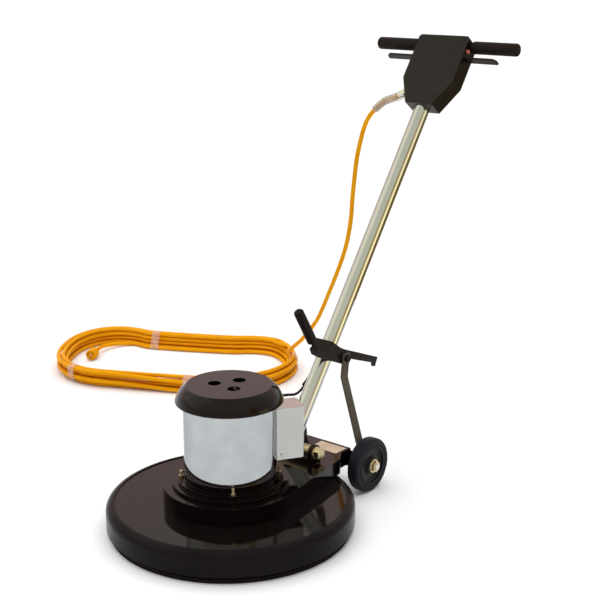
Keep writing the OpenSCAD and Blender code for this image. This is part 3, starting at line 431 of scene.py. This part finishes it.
for kind, profile, low, slot in (("tyre", tyre_profile, tyre_low, "tyre"),
        ("hub", hub_profile, hub_low, "black_plastic")):
    piece = turned(profile, WHEEL_STEPS)
    twin = copy_of(piece)
    piece.matrix_world = Matrix.Translation((low.x, axis_y, axis_z))
    twin.matrix_world = Matrix.Translation((-low.x, axis_y, axis_z)) @ Matrix.Rotation(math.pi, 4, "Z")
    settle(piece, "moulded_%s_left" % kind, slot, "wheel_left", (kind + "_left",), 30)
    settle(twin, "moulded_%s_right" % kind, slot, "wheel_right", (kind + "_right",), 30)
    print(kind, len(piece.data.polygons), "faces")

# %% [markdown]
# ## Plug and ties
# The plug's sleeve has ribs that let the cord bend, and its body has two finger grooves. Four strips of
# clear tape hold the hank. A strip is drawn tight over the strands, so its line is the hull of the strands'
# circles. The line is extruded to the tape's width, and given the tape's thickness.

# %% Plug
SLEEVE_RIBS = 4
FINGER_GROOVES = (0.030, 0.037)
plug_profile = [(0.010, 0), (0.010, 0.0062), (0, 0.0062), (0, 0.0074), (0.0008, 0.008)]
for i in range(SLEEVE_RIBS):
    x, r = 0.003 + 0.0042 * i, 0.0082 + 0.00065 * i
    plug_profile += [(x, r), (x + 0.0004, r - 0.001), (x + 0.0018, r - 0.001), (x + 0.0022, r)]
plug_profile += [(0.020, 0.011), (0.0203, 0.0148)] + corner(0.0222, 0.0142, 0.0018, 160, 90, 4)
for x in FINGER_GROOVES:
    plug_profile += [(x, 0.016), (x + 0.0006, 0.0153), (x + 0.0024, 0.0153), (x + 0.003, 0.016)]
plug_profile += corner(0.0505, 0.0145, 0.0015, 90, 0, 4) + [(0.052, 0)]
plug = turned(plug_profile)
plug.matrix_world = along(plug_at, plug_at + PLUG_WAY)
settle(plug, "moulded_plug", "cord_jacket", "chassis", ("plug_body",))
print("plug:", len(plug.data.polygons), "faces")

# %% Ties
TIE_RINGS = (0.72, 6.5, 12.79, 21.5)
TIE_W, TIE_T = 0.026, 0.0004
TIE_PARTS, CIRCLE_DOTS = 5, 20
LOOPS = LAST_RING // RINGS + 1


def hull(dots):
    """The corners of the tightest line round some points in a plane, in order."""
    def half(run):
        line = []
        for d in run:
            while len(line) > 1 and (line[-1] - line[-2]).cross(d - line[-2]) <= 1e-12:
                line.pop()
            line.append(d)
        return line[:-1]
    dots = sorted(dots, key=lambda d: (d.x, d.y))
    return half(dots) + half(reversed(dots))


def tie_at(ring):
    """One strip of tape round all the strands at one ring of the loops."""
    rings = [ring + RINGS * i for i in range(LOOPS) if FIRST_RING <= ring + RINGS * i <= LAST_RING]
    strands = [hank_point(r) for r in rings]
    way = hank_point(rings[0] + 0.3) - hank_point(rings[0] - 0.3)
    way = Vector((way.x, way.y, 0)).normalized()
    out, up = way.cross(Vector((0, 0, 1))), Vector((0, 0, 1))
    r = CORD_D / 2 + TIE_T
    turns = [math.tau * i / CIRCLE_DOTS for i in range(CIRCLE_DOTS)]
    dots = [Vector((p.dot(out) + r * math.cos(a), p.z + r * math.sin(a))) for p in strands for a in turns]
    start = strands[0].dot(way) * way - TIE_W / 2 * way
    line = [start + d.x * out + d.y * up for d in hull(dots)]
    draw_line(line + line[:1])
    bpy.ops.mesh.remove_doubles(threshold=1e-6)
    for _ in range(TIE_PARTS):
        bpy.ops.mesh.extrude_region_move(TRANSFORM_OT_translate={"value": TIE_W / TIE_PARTS * way})
    strip = close_shape()
    wall = strip.modifiers.new("wall", "SOLIDIFY")
    wall.thickness = TIE_T
    wall.offset = 1
    bpy.ops.object.modifier_apply(modifier="wall")
    return strip


strips = [tie_at(ring) for ring in TIE_RINGS]
start_clean()
for strip in strips:
    strip.select_set(True)
bpy.context.view_layer.objects.active = strips[0]
bpy.ops.object.join()
ties = settle(bpy.context.object, "tape_ties", "tie_film", "chassis", ("hank_ties",), 50)
print("ties:", len(ties.data.polygons), "faces")

# %% [markdown]
# ## Eased copies of the solids
# Cast, pressed and moulded pieces have no sharp edges, and it is the thin highlight along an eased edge
# that makes them look real. A copy of the solid's mesh is merged, its flat faces are joined again, and a
# bevel rounds what is left sharp. The shading then follows the large faces, so that they stay flat. The
# solid itself isn't touched. The table gives each bevel's width in metres.

# %% Eased copies
def eased_copy(node, width, segments=3, sharp=30, soft=40):
    """A copy of a solid with its sharp edges rounded, which then stands for the solid."""
    start_clean()
    piece = bpy.data.objects.new("eased", frame["nodes"][node].data.copy())
    bpy.context.collection.objects.link(piece)
    only(piece)
    bpy.ops.object.mode_set(mode="EDIT")
    bpy.ops.mesh.select_all(action="SELECT")
    bpy.ops.mesh.customdata_custom_splitnormals_clear()
    bpy.ops.mesh.remove_doubles(threshold=1e-5)
    bpy.ops.mesh.dissolve_limited(angle_limit=math.radians(0.6))
    bpy.ops.object.mode_set(mode="OBJECT")
    bevel = piece.modifiers.new("ease", "BEVEL")
    bevel.width = width
    bevel.segments = segments
    bevel.limit_method = "ANGLE"
    bevel.angle_limit = math.radians(sharp)
    bevel.miter_outer = "MITER_ARC"
    bpy.ops.object.modifier_apply(modifier="ease")
    settle(piece, "eased_" + node, slot_of[node], body_of[node], (node,), soft)
    even = piece.modifiers.new("even", "WEIGHTED_NORMAL")
    even.keep_sharp = True
    bpy.ops.object.modifier_apply(modifier="even")
    return piece


EASE = {"switch_box": 0.0022, "box_cover": 0.0012, "frame_casting": 0.0025, "end_bell": 0.0015,
    "motor_cap": 0.0012, "capacitor_cover": 0.003, "clamp_block": 0.0015, "lock_lever": 0.001,
    "strut_left": 0.001, "strut_right": 0.001, "switch_levers": 0.0009, "handle_bracket": 0.001,
    "nameplate": 0.0003, "axle_nuts": 0.0008, "pivot_bolt": 0.001, "pivot_nut": 0.001,
    "motor_studs": 0.0005, "cord_connector": 0.0006, "strut_bolt": 0.0008, "handle_tube": 0.0005,
    "pivot_sleeve": 0.001, "lockout_button": 0.0012, "cable_bush": 0.0012, "axle": 0.0008,
    "cover_screws": 0.0004, "cap_screws": 0.0004, "box_screws": 0.0004}
for node, width in EASE.items():
    copy = eased_copy(node, width)
    print(copy.name, len(copy.data.polygons), "faces")

# %% [markdown]
# ## Shader maths
# A finish is a formula: a colour that wanders a little, a roughness that is worn in places. One small class
# wraps a socket so that such formulas read as Python sums, and one method makes any other node.

# %% Shader maths
class Tone:
    """A socket of a shader tree that can be added, multiplied and passed on to other nodes."""

    def __init__(self, tree, socket):
        self.tree, self.socket = tree, socket

    def node(self, kind, settings=None, out=0, **plugs):
        """A new node in the same tree: its settings, the output to pass on, and what goes into its inputs."""
        made = self.tree.nodes.new("ShaderNode" + kind)
        for key, value in (settings or {}).items():
            if key == "stops":
                ramp = made.color_ramp.elements
                while len(ramp) < len(value):
                    ramp.new(0.5)
                for element, (place, colour) in zip(ramp, value):
                    element.position, element.color = place, (*colour, 1)
            else:
                setattr(made, key, value)
        for key, value in plugs.items():
            entry = made.inputs[int(key[1:]) if key[1:].isdigit() else key.replace("_", " ")]
            if isinstance(value, Tone):
                self.tree.links.new(value.socket, entry)
            else:
                entry.default_value = value
        return Tone(self.tree, made.outputs[out])

    def sum(self, operation, a, b):
        """A node that does one step of arithmetic."""
        return self.node("Math", {"operation": operation}, i0=a, i1=b)

    def __add__(self, other):
        return self.sum("ADD", self, other)

    def __radd__(self, other):
        return self.sum("ADD", other, self)

    def __sub__(self, other):
        return self.sum("SUBTRACT", self, other)

    def __rsub__(self, other):
        return self.sum("SUBTRACT", other, self)

    def __rmul__(self, other):
        return self.sum("MULTIPLY", other, self)

    def above(self, low, high):
        """0 below low, 1 above high, and smooth between them."""
        kind = {"interpolation_type": "SMOOTHSTEP"}
        return self.node("MapRange", kind, Value=self, From_Min=low, From_Max=high)

    def between(self, first, second):
        """A mix of two colours, with this tone as its factor."""
        def colour(c):
            return c if isinstance(c, Tone) else (*c, 1)
        return self.node("Mix", {"data_type": "RGBA"}, 2, i0=self, i6=colour(first), i7=colour(second))

    def noise(self, scale, detail=3, rough=0.55):
        return self.node("TexNoise", Vector=self, Scale=scale, Detail=detail, Roughness=rough)

    def stretched(self, x, y, z):
        """Object coordinates with each axis scaled, so that a pattern runs along a piece."""
        return self.node("Mapping", Vector=self, Scale=(x, y, z))


def srgb(r, g, b):
    """A colour as it is read off a screen, as the linear values that a shader takes."""
    return tuple((c / 255 / 12.92) if c <= 10 else ((c / 255 + 0.055) / 1.055) ** 2.4 for c in (r, g, b))


def new_finish(name, **constants):
    """A material, its shader, and the piece's own coordinates."""
    material = bpy.data.materials.new(name)
    material.use_nodes = True
    shader = material.node_tree.nodes["Principled BSDF"]
    for key, value in constants.items():
        shader.inputs[key.replace("_", " ")].default_value = value
    spot = material.node_tree.nodes.new("ShaderNodeTexCoord")
    place = Tone(material.node_tree, spot.outputs["Object"])
    return material, shader, place


def feed(shader, **tones):
    """Links tones to the shader's inputs of those names."""
    for key, tone in tones.items():
        tone.tree.links.new(tone.socket, shader.inputs[key.replace("_", " ")])


def bumped(shader, height, strength, distance):
    """A bump from a height, with the height's full step in metres."""
    feed(shader, Normal=height.node("Bump", Strength=strength, Distance=distance, Height=height))


finishes = {}
print("shader maths ready")

# %% [markdown]
# ## Gloss enamel
# The deck, the casting and the motor's cap are painted in thick black-brown enamel. Its colour is almost
# black, and what is seen is mostly the room in its gloss. A slow waviness in the paint and faint dust keep
# the reflections from looking like glass. The struts' paint is thinner and greyer.

# %% Gloss enamel
def enamel(name, dark, light, rough, wave, ior):
    material, shader, place = new_finish(name, IOR=ior)
    cloud = place.noise(7, 4)
    dust = place.noise(420, 2).above(0.52, 0.72)
    feed(shader, Base_Color=cloud.above(0.35, 0.7).between(dark, light),
        Roughness=rough + 0.05 * cloud + 0.06 * dust)
    bumped(shader, place.noise(wave, 2) + 0.02 * place.noise(260, 2), 0.05, 0.004)
    return material


finishes["deck"] = enamel("deck_enamel", srgb(13, 8, 8), srgb(18, 11, 11), 0.03, 9, 1.25)
finishes["casting"] = enamel("casting_enamel", srgb(9, 5, 5), srgb(14, 8, 8), 0.06, 30, 1.26)
finishes["black_paint"] = enamel("black_paint", srgb(26, 15, 12), srgb(32, 21, 17), 0.24, 60, 1.2)
cap_enamel = enamel("cap_enamel", srgb(14, 8, 8), srgb(19, 11, 11), 0.05, 12, 1.27)
strut_paint = enamel("strut_paint", srgb(72, 65, 54), srgb(86, 78, 66), 0.34, 60, 1.3)
print("enamels:", [m.name for m in finishes.values()], cap_enamel.name, strut_paint.name)

# %% [markdown]
# ## Bumper and tyre rubber
# The band round the deck is a satin extrusion with a fine grain that softens its gloss. The tyres are duller,
# with a bluish bloom, and the grips have a deeper grain to hold by.

# %% Bumper and tyre rubber
def rubber(name, dark, light, rough, grain, strength, ior=1.2):
    material, shader, place = new_finish(name, IOR=ior)
    cloud = place.noise(14, 4)
    speck = place.noise(grain, 2)
    feed(shader, Base_Color=cloud.above(0.3, 0.75).between(dark, light),
        Roughness=rough + 0.14 * cloud - 0.07)
    bumped(shader, speck, strength, 0.0006)
    return material


finishes["bumper"] = rubber("bumper_rubber", srgb(21, 16, 20), srgb(27, 22, 25), 0.22, 700, 0.05, 1.14)
finishes["tyre"] = rubber("tyre_rubber", srgb(25, 24, 31), srgb(32, 31, 38), 0.5, 900, 0.2)
finishes["grip_rubber"] = rubber("grip_rubber", srgb(24, 15, 12), srgb(32, 22, 19), 0.55, 1500, 0.35)
finishes["cable_rubber"] = rubber("cable_rubber", srgb(20, 19, 19), srgb(28, 27, 27), 0.45, 1200, 0.1)
print("rubbers made")

# %% [markdown]
# ## Chrome and plated steel
# Chrome shows what stands round it, so its own colour is one grey. Polishing leaves very faint lines, and
# handling leaves patches that are a little less bright. The motor's shell is bluer and a little darker
# towards its edges. Zinc plate is yellower and duller.

# %% Chrome and plated steel
def plated(name, dull, bright, rough, streak, wear=0.05, edge=1):
    material, shader, place = new_finish(name, Metallic=1, Specular_Tint=(edge, edge, edge, 1))
    lines = place.stretched(*streak).noise(1, 3)
    patch = place.noise(18, 4)
    feed(shader, Base_Color=patch.above(0.3, 0.7).between(dull, bright),
        Roughness=rough + wear * lines + wear * patch)
    bumped(shader, lines, 0.24 * wear, 0.0005)
    return material


EVEN = (240, 240, 240)
UPRIGHT = (160, 160, 6)
POLISHED = 0.015
finishes["chrome"] = plated("chrome", srgb(177, 178, 175), srgb(181, 182, 179), 0.02, UPRIGHT, POLISHED)
shell_chrome = plated("shell_chrome", srgb(171, 175, 178), srgb(185, 189, 191), 0.02, UPRIGHT, POLISHED,
    edge=0.72)
finishes["bright_steel"] = plated("bright_steel", srgb(186, 182, 172), srgb(220, 216, 206), 0.18, EVEN)
finishes["zinc"] = plated("zinc_plate", srgb(178, 163, 124), srgb(212, 198, 160), 0.22, EVEN)
finishes["plate_metal"] = plated("plate_metal", srgb(206, 192, 176), srgb(224, 212, 196), 0.3, (40, 900, 900))
finishes["motor_iron"] = plated("motor_iron", srgb(92, 92, 95), srgb(120, 120, 122), 0.45, (300, 300, 300))
finishes["winding"] = plated("winding_wire", srgb(52, 30, 18), srgb(84, 48, 26), 0.4, (30, 30, 900))
print("metals made")

# %% [markdown]
# ## Plastics, pad and cord
# The switch box has a fine powder texture. The pad is a felted web of fibres, with painted shade that turns
# it black where it runs close under the band. The cord's jacket is soft bright plastic whose colour wanders a
# little, and the ties are creased clear tape over it.

# %% Plastics, pad and cord
def plastic(name, dark, light, rough, grain, strength, ior=1.3):
    material, shader, place = new_finish(name, IOR=ior)
    cloud = place.noise(20, 4)
    speck = place.noise(grain, 3)
    feed(shader, Base_Color=cloud.above(0.3, 0.7).between(dark, light), Roughness=rough + 0.1 * speck)
    bumped(shader, speck, strength, 0.0004)
    return material


finishes["black_plastic"] = plastic("moulded_black", srgb(24, 23, 24), srgb(34, 33, 34), 0.42, 900, 0.2)
box_powder = plastic("box_powder", srgb(22, 17, 15), srgb(29, 24, 21), 0.2, 1300, 0.3, 1.26)
finishes["driver_plastic"] = plastic("driver_plastic", srgb(58, 58, 62), srgb(74, 74, 78), 0.5, 900, 0.2)
finishes["button"] = plastic("button_plastic", srgb(176, 92, 84), srgb(196, 112, 100), 0.35, 900, 0.05)
finishes["cord_jacket"] = plastic("cord_jacket", srgb(238, 159, 2), srgb(244, 168, 5), 0.4, 1600, 0.05, 1.15)

material, shader, place = new_finish("pad_fibre", IOR=1.15)
web = place.stretched(1, 1, 2.2)
fibre = web.node("TexVoronoi", {"feature": "DISTANCE_TO_EDGE"}, Vector=web, Scale=420)
tuft = place.noise(260, 5, 0.7)
# Painted shade: the pad turns near black above 7.5 mm, where it runs close under the band.
painted_shade_under_band = place.node("SeparateXYZ", None, 2, Vector=place).above(0.0075, 0.0095)
strands = tuft.above(0.3, 0.75).between(srgb(22, 17, 16), srgb(52, 42, 40))
feed(shader, Base_Color=painted_shade_under_band.between(strands, srgb(2, 2, 2)), Roughness=0.85 + 0.1 * tuft)
bumped(shader, tuft + 0.5 * fibre, 0.8, 0.003)
finishes["pad"] = material

material, shader, place = new_finish("tie_film", IOR=1.45)
crease = place.noise(160, 4)
feed(shader, Base_Color=crease.above(0.35, 0.7).between(srgb(236, 200, 176), srgb(248, 226, 210)),
    Roughness=0.18 + 0.2 * crease, Alpha=0.16 + 0.2 * crease)
bumped(shader, crease, 0.5, 0.002)
finishes["tie_film"] = material
print("finishes:", len(finishes))

# %% [markdown]
# ## Dress every piece
# Each new piece and each solid that still shows takes the finish of its slot in the record. A few pieces
# share a slot but were finished in another way, so they get a finish of their own.

# %% Dress every piece
own_finish = {"motor_shell": shell_chrome, "eased_motor_cap": cap_enamel, "eased_switch_box": box_powder,
    "eased_box_cover": box_powder, "eased_strut_left": strut_paint, "eased_strut_right": strut_paint,
    "eased_strut_bolt": finishes["black_paint"]}
for piece, slot in dressed:
    piece.data.materials.clear()
    piece.data.materials.append(own_finish.get(piece.name, finishes[slot]))
for node, solid in frame["nodes"].items():
    solid.data.materials.clear()
    solid.data.materials.append(own_finish.get(node, finishes[slot_of[node]]))
print("dressed:", len(dressed), "new pieces and", len(frame["nodes"]), "solids")

# %% [markdown]
# ## Floor and light
# The picture has a white ground with one soft shadow under the machine. The floor is mostly plain diffuse,
# which takes the shadow, with a little white glow for the camera and for gloss. The light is an even white
# room and one very wide sun from overhead. Gloss sees a room that turns from white through pink to pale green
# as it rises, and to grey overhead.

# %% Floor
def seen_directly(tree):
    """1 for rays from the camera, from gloss and through glass, and 0 for light that spreads."""
    path = tree.nodes.new("ShaderNodeLightPath")
    kinds = ("Is Camera Ray", "Is Glossy Ray", "Is Transmission Ray")
    rays = [Tone(tree, path.outputs[kind]) for kind in kinds]
    return rays[0].sum("MAXIMUM", rays[0], rays[1].sum("MAXIMUM", rays[1], rays[2]))


FLOOR_GLOW, FLOOR_SIZE, FLOOR_DROP = 0.05, 240, 0.0005
start_clean()
bpy.ops.mesh.primitive_plane_add(size=FLOOR_SIZE, location=(0, 0, -FLOOR_DROP))
floor = bpy.context.object
floor.name = "studio_floor"
material = bpy.data.materials.new("studio_floor")
material.use_nodes = True
tree = material.node_tree
tree.nodes.remove(tree.nodes["Principled BSDF"])
direct = seen_directly(tree)
glow = direct.node("Emission", Color=(1, 1, 1, 1), Strength=1)
paint = direct.node("BsdfDiffuse", Color=(0.95, 0.95, 0.95, 1))
mixed = direct.node("MixShader", i0=1 - FLOOR_GLOW * direct, i1=glow, i2=paint)
tree.links.new(mixed.socket, tree.nodes["Material Output"].inputs["Surface"])
floor.data.materials.append(material)
print("floor ready")

# %% Room
ROOM_LIGHT = 0.22
WHITE, HAZE, PINK = (1, 1, 1), (0.96, 0.93, 0.9), (0.97, 0.72, 0.68)
PALE_GREEN, GREY = (0.94, 0.97, 0.79), (0.85, 0.85, 0.85)
ROOM_STOPS = [(0.0, WHITE), (0.12, HAZE), (0.27, PINK), (0.4, PINK), (0.5, PALE_GREEN), (0.78, PALE_GREEN),
    (1.0, GREY)]
world = bpy.data.worlds.new("studio")
bpy.context.scene.world = world
world.use_nodes = True
tree = world.node_tree
way = Tone(tree, tree.nodes.new("ShaderNodeTexCoord").outputs["Generated"])
height = way.node("SeparateXYZ", None, 2, Vector=way)
room = height.node("ValToRGB", {"stops": ROOM_STOPS}, Fac=height)
path = tree.nodes.new("ShaderNodeLightPath")
for_camera, for_gloss = (Tone(tree, path.outputs[name]) for name in ("Is Camera Ray", "Is Glossy Ray"))
sky = for_camera.between(for_gloss.between((ROOM_LIGHT,) * 3, room), WHITE)
tree.links.new(sky.socket, tree.nodes["Background"].inputs["Color"])
print("room ready")

# %% Sun
SUN_WAY = Vector((0.08, 0.06, -0.995))
SUN_POWER, SUN_SPREAD = 2.95, math.radians(95)
start_clean()
bpy.ops.object.light_add(type="SUN", location=(-2, -1.6, 3))
sun = bpy.context.object
sun.name = "soft_sun"
sun.rotation_euler = SUN_WAY.to_track_quat("-Z", "Y").to_euler()
sun.data.energy = SUN_POWER
sun.data.angle = SUN_SPREAD
sun.visible_glossy = False
print("sun ready")

# %% [markdown]
# ## Cards for the chrome
# Chrome has no look of its own, so a studio stands cards round it. A cream card and an olive board draw the
# tube's bright and dark edges. Two fans lie on the floor behind the machine, gold and brown, each with a wall
# at its far side, and they draw the warm bands in the chrome. Gloss alone sees all four: they throw no light
# and no shadow.

# %% Cards
FAN_MIDDLE = Vector((0, 0.45, 0.004))
FAN_STEPS = 16


def for_gloss_only(board, name, colour):
    """Makes a board that only gloss sees, in one plain colour."""
    board.name = name
    board.visible_camera = False
    board.visible_diffuse = False
    board.visible_shadow = False
    board.visible_transmission = False
    material = bpy.data.materials.new(name)
    material.use_nodes = True
    tree = material.node_tree
    tree.nodes.remove(tree.nodes["Principled BSDF"])
    shine = tree.nodes.new("ShaderNodeEmission")
    shine.inputs["Color"].default_value = (*colour, 1)
    tree.links.new(shine.outputs[0], tree.nodes["Material Output"].inputs["Surface"])
    board.data.materials.append(material)


def card(name, place, aim, width, height, colour):
    """A flat card at a place, facing what it is aimed at."""
    start_clean()
    bpy.ops.mesh.primitive_plane_add(size=1, location=place)
    board = bpy.context.object
    board.rotation_euler = (Vector(aim) - Vector(place)).to_track_quat("Z", "Y").to_euler()
    board.scale = (width, height, 1)
    for_gloss_only(board, name, colour)


def floor_fan(name, first, last, near, far, wall, colour):
    """A fan on the floor, between two directions in degrees, with a wall at its far side."""
    a = math.radians(first)
    way = Vector((math.cos(a), math.sin(a), 0))
    foot = FAN_MIDDLE + far * way
    draw_line([FAN_MIDDLE + near * way, foot, foot + Vector((0, 0, wall))])
    bpy.ops.mesh.spin(steps=FAN_STEPS, angle=math.radians(last - first), center=FAN_MIDDLE, axis=(0, 0, -1))
    for_gloss_only(close_shape(), name, colour)


card("cream_card", place=(-2.0, -1.07, 2.55), aim=(0, 0.5, 0.6), width=3.0, height=2.6,
    colour=(1.35, 1.33, 1.08))
card("olive_board", place=(4.0, 0.43, 2.1), aim=(0, 0.43, 2.1), width=1.3, height=2.3,
    colour=(0.66, 0.5, 0.2))
floor_fan("gold_fan", first=12, last=36, near=1.2, far=12, wall=3.6, colour=(2.1, 1.85, 1.0))
floor_fan("brown_fan", first=37, last=125, near=1.0, far=12, wall=0.6, colour=(0.28, 0.19, 0.07))
print("cards ready")

# %% [markdown]
# ## View
# Colours go to the picture as they are.

# %% View
bpy.context.scene.view_settings.view_transform = "Standard"
